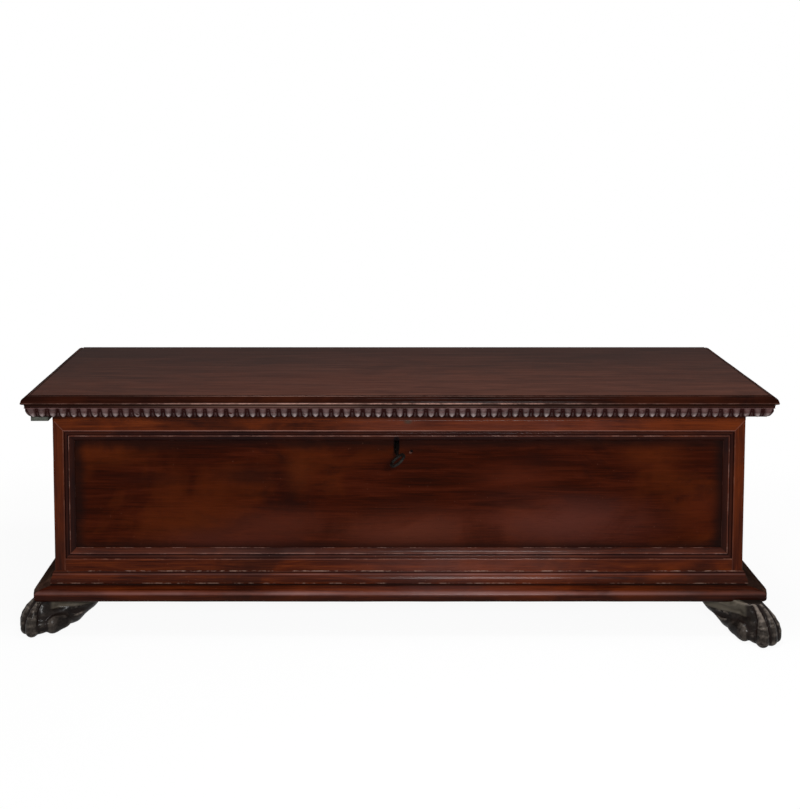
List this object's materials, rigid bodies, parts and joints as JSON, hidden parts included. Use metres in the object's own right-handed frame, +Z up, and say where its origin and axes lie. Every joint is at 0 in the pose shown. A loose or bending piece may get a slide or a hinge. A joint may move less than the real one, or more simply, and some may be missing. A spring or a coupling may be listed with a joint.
{
  "type": "cassone chest",
  "caption": "Long low walnut chest with a hinged moulded lid over a gadrooned strip, a framed plain front with a lock and key, a torus base moulding and carved paw feet.",
  "frame": {"origin": "on the floor, halfway along the chest and halfway between the foremost toe and the back of the hinges", "axes": "+X runs along the chest to the right as seen from the front, the front faces -Y, +Z is up"},
  "size_m": [1.8168, 0.6602, 0.594],
  "materials": {
    "lid_wood": "waxed, with a brown-grey sheen",
    "moulding_wood": "polished, reddish brown, worn pale on the edges",
    "panel_wood": "polished, deep red-brown with darker stains",
    "gadroon_wood": "carved, worn greyish on the high parts",
    "paw_wood": "carved, near-black brown",
    "plain_wood": "unpolished, dull brown",
    "wrought_iron": "forged, dark"
  },
  "bodies": {
    "carcass": {"front_board": "panel_wood", "left_end_board": "moulding_wood", "right_end_board": "moulding_wood", "back_lower_board": "plain_wood", "back_upper_board": "plain_wood", "floor_front_board": "plain_wood", "floor_rear_board": "plain_wood", "front_top_band": "moulding_wood", "front_frame_top": "moulding_wood", "front_frame_bottom": "moulding_wood", "front_frame_left": "moulding_wood", "front_frame_right": "moulding_wood", "front_bead_top": "moulding_wood", "front_bead_bottom": "moulding_wood", "front_bead_left": "moulding_wood", "front_bead_right": "moulding_wood", "base_front_moulding": "moulding_wood", "base_left_moulding": "moulding_wood", "base_right_moulding": "moulding_wood", "front_left_paw": "paw_wood", "front_right_paw": "paw_wood", "rear_left_paw": "paw_wood", "rear_right_paw": "paw_wood", "foot_nails": "wrought_iron", "hinge_left_leaf": "wrought_iron", "hinge_right_leaf": "wrought_iron", "hinge_left_pin": "wrought_iron", "hinge_right_pin": "wrought_iron", "hinge_leaf_nails": "wrought_iron", "lock_plate": "wrought_iron", "lock_case": "wrought_iron", "lock_nails": "wrought_iron"},
    "lid": {"lid_front_board": "lid_wood", "lid_rear_board": "lid_wood", "lid_front_moulding": "moulding_wood", "lid_left_moulding": "moulding_wood", "lid_right_moulding": "moulding_wood", "lid_front_gadroon": "gadroon_wood", "lid_left_gadroon": "gadroon_wood", "lid_right_gadroon": "gadroon_wood", "lid_left_cleat": "plain_wood", "lid_right_cleat": "plain_wood", "lid_staple": "wrought_iron", "hinge_left_strap": "wrought_iron", "hinge_right_strap": "wrought_iron", "hinge_strap_nails": "wrought_iron"},
    "key": {"key": "wrought_iron"},
    "bolt": {"lock_bolt": "wrought_iron"}
  },
  "joints": [
    {"name": "lid_hinge", "type": "hinge", "parent": "carcass", "child": "lid", "pos_m": [0, 0.32485, 0.5637], "axis": [-1, 0, 0], "range_deg": [0, 100]},
    {"name": "key_turn", "type": "hinge", "parent": "carcass", "child": "key", "pos_m": [-0.005, -0.22815, 0.459], "axis": [0, 0.9703, 0.2419], "range_deg": [0, 180]},
    {"name": "bolt_slide", "type": "slide", "parent": "carcass", "child": "bolt", "axis": [1, 0, 0], "range_m": [0, 0.014]}
  ],
  "couplings": [
    {"joint": "key_turn", "follows": "bolt_slide", "rad_per_m": 224.39}
  ]
}
